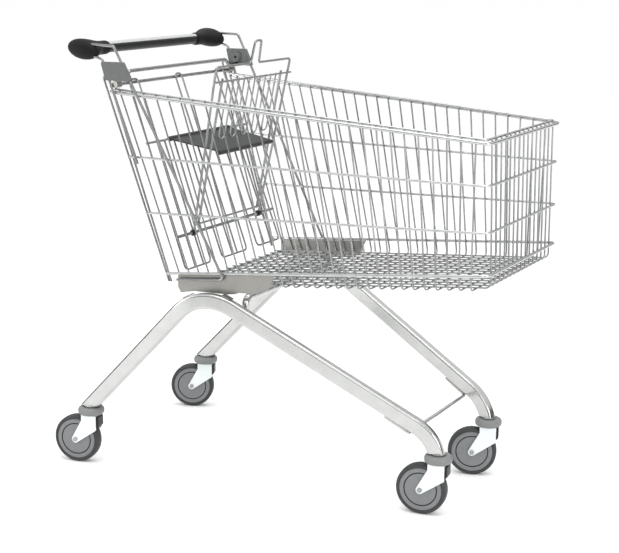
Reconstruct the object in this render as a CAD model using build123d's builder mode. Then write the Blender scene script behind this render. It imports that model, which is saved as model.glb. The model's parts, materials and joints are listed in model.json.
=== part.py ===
"""Shopping cart with a wire basket, a swinging rear gate, a folding child seat and four castors.

Millimetres. +X points to the nose, +Y to the cart's left, +Z up. The origin is on the floor,
below the middle of the cart's overall box.
"""

from build123d import *
from math import atan, cos, radians, sin, sqrt, tan
import os

# Gaps
weld_gap = 0.05  # between two wires that a weld joins, and between pieces that touch
running_gap = 0.06  # all round a pin that turns in its hole
clear_gap = 0.3  # between faces that slide past each other

# Castors
wheel_radius = 62.5
tyre_width = 30
tyre_depth = 9.5
tyre_shoulder = 7
core_width = 27
groove_radius = 40
groove_depth = 1.2
hub_radius = 12
axle_radius = 4
axle_head_radius = 6.5
axle_head_height = 3.5
trail = 39
fork_sheet = 2.5
fork_length = 41.5
fork_top = 2 * wheel_radius + 6.3
crown_sheet = 3
boss_radius = 9.5
stem_radius = 6
collar_radius = 17
collar_height = 3
bumper_radius = 34
bumper_height = 20
bumper_rounding = 8
insert_height = 31
insert_reach = 27
castor_yaws = {"rear_right": 10.2, "rear_left": 22.2, "front_right": 6.4, "front_left": 19.4}

# Legs: one rounded rectangular tube each side, bent over at the apex
leg_height = 38
leg_width = 25
leg_rounding = 7
leg_wall = 2
leg_rear_angle = 45.75
leg_apex_bend = 120
leg_front_bend = 110
leg_apex_height = 506.6
leg_apex_reach = 342.6
leg_knee_rise = 55.7  # the knee above the forks' tops
wheelbase = 930
rear_half_track = 274.4
front_half_track = 158

# Cross members between the legs
cross_tube_radius = 9.5
cross_tube_reach = 435
cross_tube_height = 483
cross_tube_drop = 42
cross_tube_bend = 18
cross_tube_end_gap = 0.5
cross_tube_end_run = 25.5  # each low end, from the leg to the upright bend
front_bar_radius = 4.5
front_bar_reach = wheelbase - 60
front_bar_tail = 60
front_bar_bend = 10

# Basket: each side wall is one plane, named by its half width and two slopes
rim_half_width = 276.5  # at the rear axis and the rim's height there
side_taper = 0.0496  # how much the half width closes in for each mm forward
side_lean = 0.0254  # how much it closes in for each mm down
rim_height = 978
rim_fall = 0.065
nose_reach = 1051
nose_lean = 0.02
upright_radius = 2
rim_outer_radius = 4
rim_inner_radius = 3
rim_step = 3
ring_radius = 3
base_ring_radius = 3.75
ring_corner = 20
inner_corner = 12
upper_ring = (813, 0)  # height above the floor at ring_origin, and rise for each mm forward
middle_ring = (677, 0.0356)
base_ring = (532, 0.0987)
upper_ring_origin = 153
middle_ring_origin = 190
base_ring_origin = 262
floor_height = 498
floor_origin = 261
floor_rise = 0.0955
upright_count = 28
upright_first_top = 107
upright_last_top = nose_reach - 27
upright_first_bottom = 275
upright_last_bottom = nose_reach - 31
floor_bend = 14
floor_tail = 22
front_wire_count = 15
front_wire_top_span = 394
front_wire_bottom_span = 378
floor_rear_span = 456
floor_rear_reach = 262
rear_rod_radius = 4
rear_edge_top = 1008
rear_edge_top_reach = 60
rear_edge_bottom = 508
rear_edge_slope = 0.347
rear_edge_top_pitch = 15.5
rear_edge_bottom_pitch = 6.5
rear_edge_radius = 2.6

# Handle and its brackets
handle_reach = 17
handle_height = 1070
handle_radius = 13.5
handle_tube_radius = 11
handle_tube_wall = 2
handle_sleeve_half = 232
cap_reach = 307.5
cap_tube_depth = 285
arm_radius = 3.3
arm_offset = upright_radius + 2 * rim_outer_radius + arm_radius + 2 * weld_gap
arm_bend = 15
stay_foot_reach = 397
stay_foot_height = 531
stay_tail_reach = 265
stay_tail_height = 518
stay_bend = 8
bracket_sheet = 11
boss_reach = 104
boss_height = 1020
bracket_boss_radius = 13.5
bracket_boss_depth = 9
bracket_hole_radius = 4
cross_rod_radius = 4.5
cross_rod_reach = 103
cross_rod_height = 1017
cross_rod_drop = 15

# Carrier plates that hang the basket on the legs
carrier_sheet = 3
carrier_front = 530
saddle_sheet = 2.5

# Rear gate
gate_slope = 0.376
gate_reach = 239.5
gate_level = 615
gate_wire_radius = 2.5
pivot_radius = 4.25
pivot_level = 989
gate_loop_rise = 6
gate_loop_top = (179, 217)  # the side loops' two legs, from the cart's middle
gate_loop_bottom = (188, 231)
gate_loop_bend = 12
gate_bottom_level = 536
gate_foot_reach = (109, 115)  # how near the middle each side loop's foot comes, at its top and bottom
gate_bar_reach = 150
gate_middle_loop = (14.5, 12)
gate_middle_foot = 61
lower_rod_radius = 4
lower_rod_level = 614
seat_wire_radius = 3
seat_wire_level = 841
seat_wire_offset = 9.9
seat_wire_joggle = 155

# Child seat
seat_back_lean = 11.3
seat_frame_radius = 3
seat_frame_bottom_half = 159
seat_frame_top_half = 181
seat_frame_top = 425
seat_frame_bend = 10
hook_half = 20
hook_height = 57
hook_bend = 8
thick_wire_radius = 3.2
thick_wire_half = 143
hairpin_radius = 2
hairpin_pitch = 52
hairpin_half = 13
hairpin_count = 5
hairpin_bottom = 238
hairpin_end = 1.5  # how far the hairpins' ends stand above the upper wire's middle
upper_wire_level = 389
upper_wire_half = 186
bottom_cross_level = 24
knuckle_radius = 8
knuckle_width = 12
flap_angle = 9.35
flap_length = 142
flap_sheet = 4
flap_roll_radius = 6.5
flap_lip_radius = 5.5
flap_rear_half = 142.5
flap_front_half = 128.5

# Half widths that follow the basket's
leg_apex_half_width = rim_half_width + 2.5
saddle_half_width = leg_apex_half_width - 6
cross_rod_half = rim_half_width - 55.5
pivot_half = rim_half_width - 19.5
cup_inner = rim_half_width - 28.5
cup_outer = rim_half_width - 7.5
lower_rod_half = rim_half_width - 40.5
seat_wire_half = rim_half_width - 42.5
leg_knee_height = fork_top + leg_knee_rise

# The rear castors' swivel axes are this far behind the origin
shallow_yaw = radians(min(castor_yaws["rear_right"], castor_yaws["rear_left"]))
tyre_reach = (
    (wheel_radius - tyre_shoulder) * cos(shallow_yaw)
    + (tyre_width / 2 - tyre_shoulder) * sin(shallow_yaw)
    + tyre_shoulder
)
rear_overhang = trail * cos(shallow_yaw) + tyre_reach
base_ring_front = nose_reach + nose_lean * (
    rim_height - rim_fall * nose_reach - base_ring[0] - base_ring[1] * (nose_reach - base_ring_origin)
)
front_overhang = base_ring_front + upright_radius + weld_gap + 2 * base_ring_radius
rear_x = (rear_overhang - front_overhang) / 2

bumper_bottom = fork_top + clear_gap
bumper_top = bumper_bottom + bumper_height

sides = {"right": -1, "left": 1}


def rim_z(x):
    """Height of the rim's middle, x mm in front of the rear axis."""
    return rim_height - rim_fall * x


def ring_z(ring, origin, x):
    """Height of a ring, x mm in front of the rear axis."""
    return ring[0] + ring[1] * (x - origin)


def floor_z(x):
    """Height of the floor's cross wires."""
    return floor_height + floor_rise * (x - floor_origin)


def side_y(x, z):
    """Half width of the side wall's upright wires."""
    return rim_half_width - side_taper * x - side_lean * (rim_height - z)


def nose_x(z):
    """Reach of the front wall's wires, which lean out a little towards the floor."""
    return nose_reach + nose_lean * (rim_z(nose_reach) - z)


def side_point(side, x, z, offset=0.0):
    """A point on a side wall, moved outwards by offset."""
    return (rear_x + x, side * (side_y(x, z) + offset), z)


def gate_point(y, level, offset=0.0):
    """A point on the gate's plane, moved forwards off it by offset."""
    across = sqrt(1 + gate_slope**2)
    x = gate_reach + gate_slope * (gate_level - level) + offset / across
    return (rear_x + x, y, level + offset * gate_slope / across)


def rod(points, radius, bend=0.0):
    """Adds one round wire along the points, with its corners bent to a radius."""
    if len(points) == 2:
        start, end = Vector(*points[0]), Vector(*points[1])
        with BuildSketch(Plane(origin=start, z_dir=end - start)) as profile:
            Circle(radius)
        extrude(profile.sketch, amount=(end - start).length, clean=False)
        return
    with BuildLine() as path:
        FilletPolyline(*points, radius=bend)
    with BuildSketch(Plane(origin=path.line @ 0, z_dir=path.line % 0)) as profile:
        Circle(radius)
    sweep(profile.sketch, path=path.line, clean=False)


def save(part, name):
    """Labels a finished piece and writes it as its own file."""
    part.label = name
    export_step(part, f"parts/{name}.step")


os.makedirs("parts", exist_ok=True)

# ---- Castors ----


def castor(name, x, y, yaw):
    """One castor. Its fork trails backwards, turned by yaw about the swivel axis."""
    along = Vector(cos(radians(yaw)), sin(radians(yaw)), 0)
    across = Vector(sin(radians(yaw)), -cos(radians(yaw)), 0)
    origin = Vector(x, y, 0)
    upright = Plane(origin=origin, x_dir=along, z_dir=across)
    axle_center = origin - along * trail + Vector(0, 0, wheel_radius)
    hub_plane = Plane(origin=axle_center, x_dir=along, z_dir=across)
    swivel = Axis((x, y, 0), (0, 0, 1))
    spin = Axis(axle_center, across)
    radial = Plane(origin=axle_center, x_dir=across, z_dir=along * -1)
    core_radius = wheel_radius - tyre_depth
    inner_half = tyre_width / 2 + 1.3
    outer_half = inner_half + fork_sheet
    crown_bottom = fork_top - crown_sheet

    with BuildPart() as tyre:
        with BuildSketch(radial) as section:
            with Locations((0, (core_radius + weld_gap + wheel_radius) / 2)):
                Rectangle(tyre_width, tyre_depth - weld_gap)
            fillet(section.vertices().group_by(Axis.Y)[-1], tyre_shoulder)
        revolve(axis=spin)
    save(tyre.part, f"{name}_tyre")

    with BuildPart() as core:
        with BuildSketch(hub_plane):
            Circle(core_radius)
        extrude(amount=core_width / 2, both=True)
        with BuildSketch(hub_plane):
            Circle(hub_radius)
        extrude(amount=inner_half - clear_gap, both=True)
        for face in (core_width / 2, -core_width / 2):
            with BuildSketch(hub_plane.offset(face)):
                Circle(groove_radius + 0.9)
                Circle(groove_radius - 0.9, mode=Mode.SUBTRACT)
            extrude(amount=groove_depth, both=True, mode=Mode.SUBTRACT)
        with BuildSketch(hub_plane):
            Circle(axle_radius + running_gap)
        extrude(amount=inner_half, both=True, mode=Mode.SUBTRACT)
    save(core.part, f"{name}_wheel_core")

    with BuildPart() as axle:
        with BuildSketch(hub_plane):
            Circle(axle_radius)
        extrude(amount=outer_half, both=True)
        for face in (1, -1):
            with BuildSketch(hub_plane.offset(face * (outer_half + weld_gap))):
                RegularPolygon(axle_head_radius, 6)
            extrude(amount=face * axle_head_height)
            with BuildSketch(hub_plane.offset(face * outer_half)):
                Circle(axle_radius)
            extrude(amount=face * 1)
    save(axle.part, f"{name}_axle_bolt")

    front = fork_length / 2
    knee = fork_top - 39
    slope = atan((knee - wheel_radius + boss_radius) / (front + trail))
    with BuildPart() as fork:
        with BuildSketch(upright) as cheek:
            Polygon(
                (-front, fork_top),
                (front, fork_top),
                (front, knee),
                (-trail + boss_radius * sin(slope), wheel_radius - boss_radius * cos(slope)),
                (-trail - boss_radius * cos(slope), wheel_radius + boss_radius * sin(slope)),
                (-front, fork_top - 16),
                align=None,
            )
            with Locations((-trail, wheel_radius)):
                Circle(boss_radius)
            fillet(cheek.vertices().sort_by_distance((front, knee, 0))[0], 5)
        extrude(amount=outer_half, both=True)
        fillet(fork.edges().filter_by(lambda e: abs(e.center().Z - fork_top) < 0.01).filter_by(
            lambda e: abs(abs(upright.to_local_coords(e.center()).Z) - outer_half) < 0.01), 2)
        with BuildSketch(upright):
            with Locations((-trail / 2, crown_bottom / 2)):
                Rectangle(fork_length + 3 * trail, crown_bottom)
        extrude(amount=inner_half, both=True, mode=Mode.SUBTRACT)
        with BuildSketch(Plane.XY.offset(fork_top)):
            with Locations((x, y)):
                Circle(stem_radius + running_gap)
        extrude(amount=-crown_sheet, mode=Mode.SUBTRACT)
        with BuildSketch(hub_plane):
            Circle(axle_radius + weld_gap)
        extrude(amount=outer_half, both=True, mode=Mode.SUBTRACT)
    save(fork.part, f"{name}_fork")

    with BuildPart() as insert:
        top = crown_bottom - weld_gap
        with BuildSketch(upright) as pad:
            Polygon(
                (15, top),
                (insert_reach, top),
                (insert_reach, top - insert_height + 6),
                (insert_reach - 5, top - insert_height),
                (15, top - insert_height),
                align=None,
            )
        extrude(amount=inner_half - 2, both=True)
    save(insert.part, f"{name}_fork_insert")

    with BuildPart() as bumper:
        with BuildSketch(Plane(origin=origin, x_dir=(1, 0, 0), z_dir=(0, -1, 0))) as section:
            with Locations(((bumper_radius + stem_radius + 1) / 2, (bumper_bottom + bumper_top) / 2)):
                Rectangle(bumper_radius - stem_radius - 1, bumper_height)
            fillet(section.vertices().group_by(Axis.X)[-1], bumper_rounding)
        revolve(axis=swivel)
    save(bumper.part, f"{name}_bumper_ring")


castor_places = {
    "rear_right": (rear_x, -rear_half_track),
    "rear_left": (rear_x, rear_half_track),
    "front_right": (rear_x + wheelbase, -front_half_track),
    "front_left": (rear_x + wheelbase, front_half_track),
}
for castor_name, (castor_x, castor_y) in castor_places.items():
    castor(castor_name, castor_x, castor_y, castor_yaws[castor_name])

with BuildPart() as stems:
    for castor_x, castor_y in castor_places.values():
        with BuildSketch(Plane(origin=(castor_x, castor_y, 0), x_dir=(1, 0, 0), z_dir=(0, -1, 0))):
            Polygon(
                (0, fork_top - crown_sheet - clear_gap - 3),
                (10, fork_top - crown_sheet - clear_gap - 3),
                (10, fork_top - crown_sheet - clear_gap),
                (stem_radius, fork_top - crown_sheet - clear_gap),
                (stem_radius, bumper_top + clear_gap),
                (collar_radius, bumper_top + clear_gap),
                (collar_radius, bumper_top + clear_gap + collar_height),
                (0, bumper_top + clear_gap + collar_height),
                align=None,
            )
        revolve(axis=Axis((castor_x, castor_y, 0), (0, 0, 1)))
save(stems.part, "castor_stems")

# ---- Legs and the members between them ----

leg_foot = bumper_top + clear_gap + collar_height + weld_gap
leg_start = leg_foot - 30
rear_run = (leg_apex_height - leg_start) / tan(radians(leg_rear_angle))
front_angle = atan((leg_apex_height - leg_knee_height) / (wheelbase - leg_apex_reach))
leg_close = (leg_apex_half_width - front_half_track) / (wheelbase - leg_apex_reach)
half_turn = (radians(leg_rear_angle) + front_angle) / 2
arch_tangent = leg_apex_bend * tan(half_turn)
arch_x = leg_apex_reach - arch_tangent * cos(radians(leg_rear_angle)) + leg_apex_bend * sin(radians(leg_rear_angle))
arch_z = leg_apex_height - arch_tangent * sin(radians(leg_rear_angle)) - leg_apex_bend * cos(radians(leg_rear_angle))

for side_name, side in sides.items():
    with BuildPart() as leg:
        with BuildLine() as route:
            FilletPolyline(
                (rear_x + leg_apex_reach - rear_run, side * rear_half_track, leg_start),
                (rear_x + leg_apex_reach, side * leg_apex_half_width, leg_apex_height),
                (rear_x + wheelbase, side * front_half_track, leg_knee_height),
                (rear_x + wheelbase, side * front_half_track, leg_foot - 60),
                radius=[leg_apex_bend, leg_front_bend],
            )
        with BuildSketch(Plane(origin=route.line @ 0, x_dir=(0, 1, 0), z_dir=route.line % 0)):
            RectangleRounded(leg_width, leg_height, leg_rounding)
            RectangleRounded(
                leg_width - 2 * leg_wall,
                leg_height - 2 * leg_wall,
                leg_rounding - leg_wall,
                mode=Mode.SUBTRACT,
            )
        sweep()
        split(bisect_by=Plane.XY.offset(leg_foot), keep=Keep.TOP)
    save(leg.part, f"{side_name}_leg")

with BuildPart() as cross_tube:
    tube_x = rear_x + cross_tube_reach
    leg_middle = leg_apex_half_width - leg_close * (cross_tube_reach - leg_apex_reach)
    leg_face = leg_middle - leg_width / 2 * sqrt(1 + leg_close**2)
    leg_inside = leg_face - leg_close * cross_tube_radius - cross_tube_end_gap
    bend_half = leg_inside - cross_tube_end_run
    low = cross_tube_height - cross_tube_drop
    rod(
        [
            (tube_x, -leg_inside, low),
            (tube_x, -bend_half, low),
            (tube_x, -bend_half, cross_tube_height),
            (tube_x, bend_half, cross_tube_height),
            (tube_x, bend_half, low),
            (tube_x, leg_inside, low),
        ],
        cross_tube_radius,
        cross_tube_bend,
    )
save(cross_tube.part, "rear_cross_tube")


def under_leg(side, reach, drop):
    """A point below a leg's front run, drop mm square to its middle line."""
    y = leg_apex_half_width - leg_close * (reach - leg_apex_reach)
    z = leg_apex_height - tan(front_angle) * (reach - leg_apex_reach)
    return (rear_x + reach - drop * sin(front_angle), side * y, z - drop * cos(front_angle))


with BuildPart() as front_bar:
    under = leg_height / 2 + front_bar_radius + clear_gap
    rod(
        [
            under_leg(-1, front_bar_reach - front_bar_tail, under),
            under_leg(-1, front_bar_reach, under + 2),
            under_leg(1, front_bar_reach, under + 2),
            under_leg(1, front_bar_reach - front_bar_tail, under),
        ],
        front_bar_radius,
        front_bar_bend,
    )
save(front_bar.part, "front_cross_bar")

for side_name, side in sides.items():
    inner = upright_radius + weld_gap
    middle = inner + carrier_sheet / 2
    top_gap = base_ring_radius + weld_gap
    outline = [
        (floor_rear_reach, ring_z(base_ring, base_ring_origin, floor_rear_reach) - top_gap),
        (carrier_front, ring_z(base_ring, base_ring_origin, carrier_front) - top_gap),
        (carrier_front - 18, floor_z(carrier_front) - 6),
        (carrier_front - 50, floor_z(carrier_front) - 20),
        (cross_tube_reach - 3, floor_z(cross_tube_reach) - 14),
        (cross_tube_reach - 13, arch_z + leg_apex_bend + leg_height / 2),
        (cross_tube_reach - 34, arch_z + leg_apex_bend + leg_height / 2 - 3),
        (floor_rear_reach + 48, arch_z + leg_apex_bend + leg_height / 2 - 5),
        (floor_rear_reach + 24, arch_z + leg_apex_bend + leg_height / 2 - 9),
        (floor_rear_reach + 8, floor_height - 14),
        (floor_rear_reach, floor_height),
    ]
    wall = Plane(
        origin=side_point(side, floor_rear_reach, floor_height, middle),
        x_dir=(1, -side * side_taper, 0),
        z_dir=(side_taper, side, -side_lean),
    )
    with BuildPart() as carrier:
        with BuildSketch(wall):
            local = [wall.to_local_coords(Vector(*side_point(side, x, z, middle))) for x, z in outline]
            Polygon(*[(p.X, p.Y) for p in local], align=None)
        extrude(amount=carrier_sheet / 2, both=True)
        saddle_middle = leg_apex_bend + leg_height / 2 + 1 + saddle_sheet / 2
        arch = Plane(origin=(rear_x + arch_x, 0, arch_z), x_dir=(1, 0, 0), z_dir=(0, -1, 0))
        for first, sweep_angle in ((66, 11), (113, 11)):
            with BuildSketch(arch.offset(-side * saddle_half_width)):
                with BuildLine() as strap:
                    CenterArc((0, 0), saddle_middle, first, sweep_angle)
                trace(line_width=saddle_sheet)
            extrude(amount=side * (saddle_half_width - side_y(carrier_front / 2, floor_height) - inner - 1))
    save(carrier.part, f"{side_name}_carrier_plate")

# ---- Basket ----


def ring_points(height_at, radius, rear_reach, inside=False):
    """Four corners of a ring that wraps the basket's sides and nose, outside or inside its wires."""
    offset = upright_radius + weld_gap + radius
    offset = -offset if inside else offset
    front_height = height_at(nose_reach)
    front = nose_x(front_height) + offset
    rear_height = height_at(rear_reach)
    front_height = height_at(front)
    return [
        side_point(-1, rear_reach, rear_height, offset),
        side_point(-1, front, front_height, offset),
        side_point(1, front, front_height, offset),
        side_point(1, rear_reach, rear_height, offset),
    ]


def rear_edge_x(z):
    """Reach of the rear edge's back wire."""
    return rear_edge_top_reach + rear_edge_slope * (rear_edge_top - z)


with BuildPart() as rim:
    outer_start = rear_edge_x(rim_height) + rear_edge_top_pitch
    rod(ring_points(lambda x: rim_z(x) - rim_step, rim_outer_radius, outer_start), rim_outer_radius, ring_corner)
    inner_start = outer_start + 2 * rear_edge_radius
    rod(
        ring_points(lambda x: rim_z(x) + rim_step, rim_inner_radius, inner_start, inside=True),
        rim_inner_radius,
        inner_corner,
    )
save(rim.part, "basket_rim")

def ring_wire(ring, origin, radius):
    """Adds one ring that runs from rear edge to rear edge round the nose."""
    start = rear_edge_x(ring[0]) + rear_edge_bottom_pitch
    rod(ring_points(lambda x: ring_z(ring, origin, x), radius, start), radius, ring_corner)


with BuildPart() as rings:
    ring_wire(upper_ring, upper_ring_origin, ring_radius)
    ring_wire(middle_ring, middle_ring_origin, ring_radius)
save(rings.part, "basket_rings")

with BuildPart() as base:
    ring_wire(base_ring, base_ring_origin, base_ring_radius)
save(base.part, "basket_base_ring")

top_pitch = (upright_last_top - upright_first_top) / (upright_count - 1)
bottom_pitch = (upright_last_bottom - upright_first_bottom) / (upright_count - 1)
for side_name, side in sides.items():
    with BuildPart() as uprights:
        for i in range(upright_count):
            top_x = upright_first_top + top_pitch * i
            low_x = upright_first_bottom + bottom_pitch * i
            low_z = floor_z(low_x)
            top = side_point(side, top_x, rim_z(top_x) + rim_step + upright_radius)
            corner = side_point(side, low_x, low_z)
            tail = side_point(side, low_x, low_z, -floor_tail)
            rod([top, corner, tail], upright_radius, floor_bend)
    save(uprights.part, f"{side_name}_side_wires")

with BuildPart() as cross_wires:
    for i in range(upright_count):
        low_x = upright_first_bottom + bottom_pitch * i
        half = side_y(low_x, floor_z(low_x)) - floor_tail - weld_gap
        rod(
            [(rear_x + low_x, -half, floor_z(low_x)), (rear_x + low_x, half, floor_z(low_x))],
            upright_radius,
        )
    rod_x = upright_first_bottom - upright_radius - weld_gap - rear_rod_radius
    rod_z = floor_z(rod_x) + upright_radius - rear_rod_radius
    rod_half = side_y(rod_x, rod_z) - upright_radius - 1
    rod([(rear_x + rod_x, -rod_half, rod_z), (rear_x + rod_x, rod_half, rod_z)], rear_rod_radius)
save(cross_wires.part, "floor_cross_wires")

floor_layer = 2 * upright_radius + weld_gap
nose_tail = nose_reach - floor_tail
with BuildPart() as front_wires:
    for i in range(front_wire_count):
        share = i / (front_wire_count - 1) - 0.5
        top_z = rim_z(nose_reach) + rim_step + upright_radius
        low_z = floor_z(nose_reach) + floor_layer
        low_y = front_wire_bottom_span * share
        rod(
            [
                (rear_x + nose_x(top_z), front_wire_top_span * share, top_z),
                (rear_x + nose_x(low_z), low_y, low_z),
                (rear_x + nose_tail, low_y, floor_z(nose_tail) + floor_layer),
            ],
            upright_radius,
            floor_bend,
        )
save(front_wires.part, "front_wires")

with BuildPart() as long_wires:
    for i in range(front_wire_count):
        share = i / (front_wire_count - 1) - 0.5
        front_end = nose_tail - clear_gap
        rod(
            [
                (rear_x + front_end, front_wire_bottom_span * share, floor_z(front_end) + floor_layer),
                (rear_x + floor_rear_reach, floor_rear_span * share, floor_z(floor_rear_reach) + floor_layer),
            ],
            upright_radius,
        )
save(long_wires.part, "floor_long_wires")

with BuildPart() as rear_edges:
    flush = upright_radius - rear_edge_radius
    bottom_x = rear_edge_x(rear_edge_bottom)
    for side in sides.values():
        rod(
            [
                side_point(side, bottom_x, rear_edge_bottom, flush),
                side_point(side, rear_edge_top_reach, rear_edge_top, flush),
                side_point(side, rear_edge_top_reach + rear_edge_top_pitch, rear_edge_top, flush),
                side_point(side, bottom_x + rear_edge_bottom_pitch, rear_edge_bottom, flush),
            ],
            rear_edge_radius,
            rear_edge_top_pitch / 2 - 1,
        )
save(rear_edges.part, "rear_edge_wires")

# ---- Handle ----

for side_name, side in sides.items():
    with BuildPart() as arms:
        rod(
            [
                side_point(side, handle_reach + 18, handle_height + 13, arm_offset),
                side_point(side, handle_reach + 87, handle_height + 11, arm_offset),
                side_point(side, stay_foot_reach, stay_foot_height, arm_offset),
                side_point(side, stay_tail_reach, stay_tail_height, arm_offset),
            ],
            arm_radius,
            stay_bend,
        )
        rod(
            [
                side_point(side, handle_reach + 25, handle_height - 14, arm_offset),
                side_point(side, handle_reach + 53, handle_height - 22, arm_offset),
                side_point(side, upper_ring_origin + 9, upper_ring[0] - 15, arm_offset),
            ],
            arm_radius,
            stay_bend,
        )
    save(arms.part, f"{side_name}_handle_arms")

    bracket_corners = [(68, 1042), (131, 1043), (154, 998), (80, 998)]
    plate = Plane(
        origin=side_point(side, 68, 1042, arm_offset),
        x_dir=(1, -side * side_taper, 0),
        z_dir=(side_taper, side, -side_lean),
    )
    with BuildPart() as bracket:
        with BuildSketch(plate) as face:
            local = [plate.to_local_coords(Vector(*side_point(side, x, z, arm_offset))) for x, z in bracket_corners]
            Polygon(*[(p.X, p.Y) for p in local], align=None)
            fillet(face.vertices(), 4)
        extrude(amount=bracket_sheet / 2, both=True)
        boss_y = side * (side_y(boss_reach, boss_height) + arm_offset - bracket_sheet / 2 + 1)
        boss_face = Plane(origin=(rear_x + boss_reach, boss_y, boss_height), x_dir=(1, 0, 0), z_dir=(0, -side, 0))
        with BuildSketch(boss_face):
            Circle(bracket_boss_radius)
        extrude(amount=bracket_boss_depth)
        with BuildSketch(boss_face.offset(bracket_boss_depth)):
            Circle(bracket_hole_radius)
        extrude(amount=-bracket_boss_depth, mode=Mode.SUBTRACT)
    save(bracket.part, f"{side_name}_bracket_plate")

with BuildPart() as handle_tube:
    with BuildSketch(Plane(origin=(rear_x + handle_reach, 0, handle_height), x_dir=(1, 0, 0), z_dir=(0, 1, 0))):
        Circle(handle_tube_radius)
        Circle(handle_tube_radius - handle_tube_wall, mode=Mode.SUBTRACT)
    extrude(amount=cap_tube_depth, both=True)
save(handle_tube.part, "handle_tube")

with BuildPart() as sleeve:
    with BuildSketch(Plane(origin=(rear_x + handle_reach, 0, handle_height), x_dir=(1, 0, 0), z_dir=(0, 1, 0))):
        Circle(handle_radius)
        Circle(handle_tube_radius + weld_gap, mode=Mode.SUBTRACT)
    extrude(amount=handle_sleeve_half, both=True)
save(sleeve.part, "handle_sleeve")

# Each cap swells from the sleeve to a flat egg: distance out, middle's shift back, half length, half height
cap_sections = [
    (handle_sleeve_half + clear_gap, 0, 14.5, 14.5),
    (246, 1, 17, 16),
    (262, 3, 29, 21),
    (278, 4, 40, 25),
    (290, 4, 44, 25.5),
    (300, 4, 38, 22),
    (305, 4, 26, 15),
    (cap_reach, 4, 10, 6),
]
for side_name, side in sides.items():
    with BuildPart() as cap:
        for out, back, half_length, half_height in cap_sections:
            center = (rear_x + handle_reach - back, side * out, handle_height)
            with BuildSketch(Plane(origin=center, x_dir=(1, 0, 0), z_dir=(0, 1, 0))):
                Ellipse(half_length, half_height)
        loft()
        inside = Plane(origin=(rear_x + handle_reach, 0, handle_height), x_dir=(1, 0, 0), z_dir=(0, 1, 0))
        with BuildSketch(inside.offset(side * (handle_sleeve_half - 1))):
            Circle(handle_tube_radius + weld_gap)
        extrude(amount=side * (cap_tube_depth + 1.5 - handle_sleeve_half), mode=Mode.SUBTRACT)
    save(cap.part, f"{side_name}_handle_cap")

with BuildPart() as cross_rod:
    rod_x = rear_x + cross_rod_reach
    low = cross_rod_height - cross_rod_drop
    end = side_y(cross_rod_reach, low) + arm_offset
    rod(
        [
            (rod_x, -end, low),
            (rod_x, -cross_rod_half - 20, low),
            (rod_x, -cross_rod_half, cross_rod_height),
            (rod_x, cross_rod_half, cross_rod_height),
            (rod_x, cross_rod_half + 20, low),
            (rod_x, end, low),
        ],
        cross_rod_radius,
        12,
    )
save(cross_rod.part, "upper_cross_rod")

# ---- Rear gate ----

pivot = gate_point(0, pivot_level, -gate_wire_radius - weld_gap - pivot_radius)
pivot_x, pivot_z = pivot[0], pivot[2]
with BuildPart() as pivot_rod:
    rod([(pivot_x, -pivot_half, pivot_z), (pivot_x, pivot_half, pivot_z)], pivot_radius)
save(pivot_rod.part, "gate_pivot_rod")

with BuildPart() as cups:
    rim_top = rim_z(pivot_x - rear_x) + rim_step + rim_inner_radius
    for side in sides.values():
        cup = Plane(origin=(pivot_x, side * cup_inner, pivot_z), x_dir=(1, 0, 0), z_dir=(0, side, 0))
        with BuildSketch(cup):
            Circle(pivot_z - rim_top - weld_gap)
        extrude(amount=cup_outer - cup_inner)
        with BuildSketch(cup):
            Circle(pivot_radius + running_gap)
        extrude(amount=pivot_half + 1 - cup_inner, mode=Mode.SUBTRACT)
save(cups.part, "gate_hinge_cups")

with BuildPart() as gate_wires:
    loop_level = pivot_level + gate_loop_rise
    foot_top = gate_bottom_level + gate_wire_radius + weld_gap
    for side in sides.values():
        rod(
            [
                gate_point(side * gate_loop_bottom[0], foot_top),
                gate_point(side * gate_loop_top[0], loop_level),
                gate_point(side * gate_loop_top[1], loop_level),
                gate_point(side * gate_loop_bottom[1], gate_bottom_level),
                gate_point(side * gate_foot_reach[1], gate_bottom_level),
                gate_point(side * gate_foot_reach[0], seat_wire_level),
            ],
            gate_wire_radius,
            gate_loop_bend,
        )
        rod(
            [
                gate_point(side * gate_bar_reach, seat_wire_level),
                gate_point(side * gate_bar_reach, foot_top),
            ],
            gate_wire_radius,
        )
    rod(
        [
            gate_point(-gate_middle_loop[1], foot_top),
            gate_point(-gate_middle_loop[0], loop_level),
            gate_point(gate_middle_loop[0], loop_level),
            gate_point(gate_middle_loop[1], foot_top),
        ],
        gate_wire_radius,
        gate_loop_bend,
    )
    rod(
        [
            gate_point(-gate_middle_foot, seat_wire_level),
            gate_point(-gate_middle_foot, gate_bottom_level),
            gate_point(gate_middle_foot, gate_bottom_level),
            gate_point(gate_middle_foot, seat_wire_level),
        ],
        gate_wire_radius,
        gate_loop_bend,
    )
save(gate_wires.part, "gate_wires")

with BuildPart() as seat_wire:
    front = gate_wire_radius + weld_gap + seat_wire_radius
    rod(
        [
            gate_point(-seat_wire_half, seat_wire_level, front),
            gate_point(-seat_wire_joggle - 10, seat_wire_level, front),
            gate_point(-seat_wire_joggle, seat_wire_level, seat_wire_offset),
            gate_point(seat_wire_joggle, seat_wire_level, seat_wire_offset),
            gate_point(seat_wire_joggle + 10, seat_wire_level, front),
            gate_point(seat_wire_half, seat_wire_level, front),
        ],
        seat_wire_radius,
        6,
    )
save(seat_wire.part, "seat_hinge_wire")

seat_axis = gate_point(0, lower_rod_level, gate_wire_radius + weld_gap + lower_rod_radius)
seat_x, seat_z = seat_axis[0], seat_axis[2]
with BuildPart() as lower_rod:
    rod([(seat_x, -lower_rod_half, seat_z), (seat_x, lower_rod_half, seat_z)], lower_rod_radius)
save(lower_rod.part, "seat_back_pivot_rod")

# ---- Child seat back ----


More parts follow.
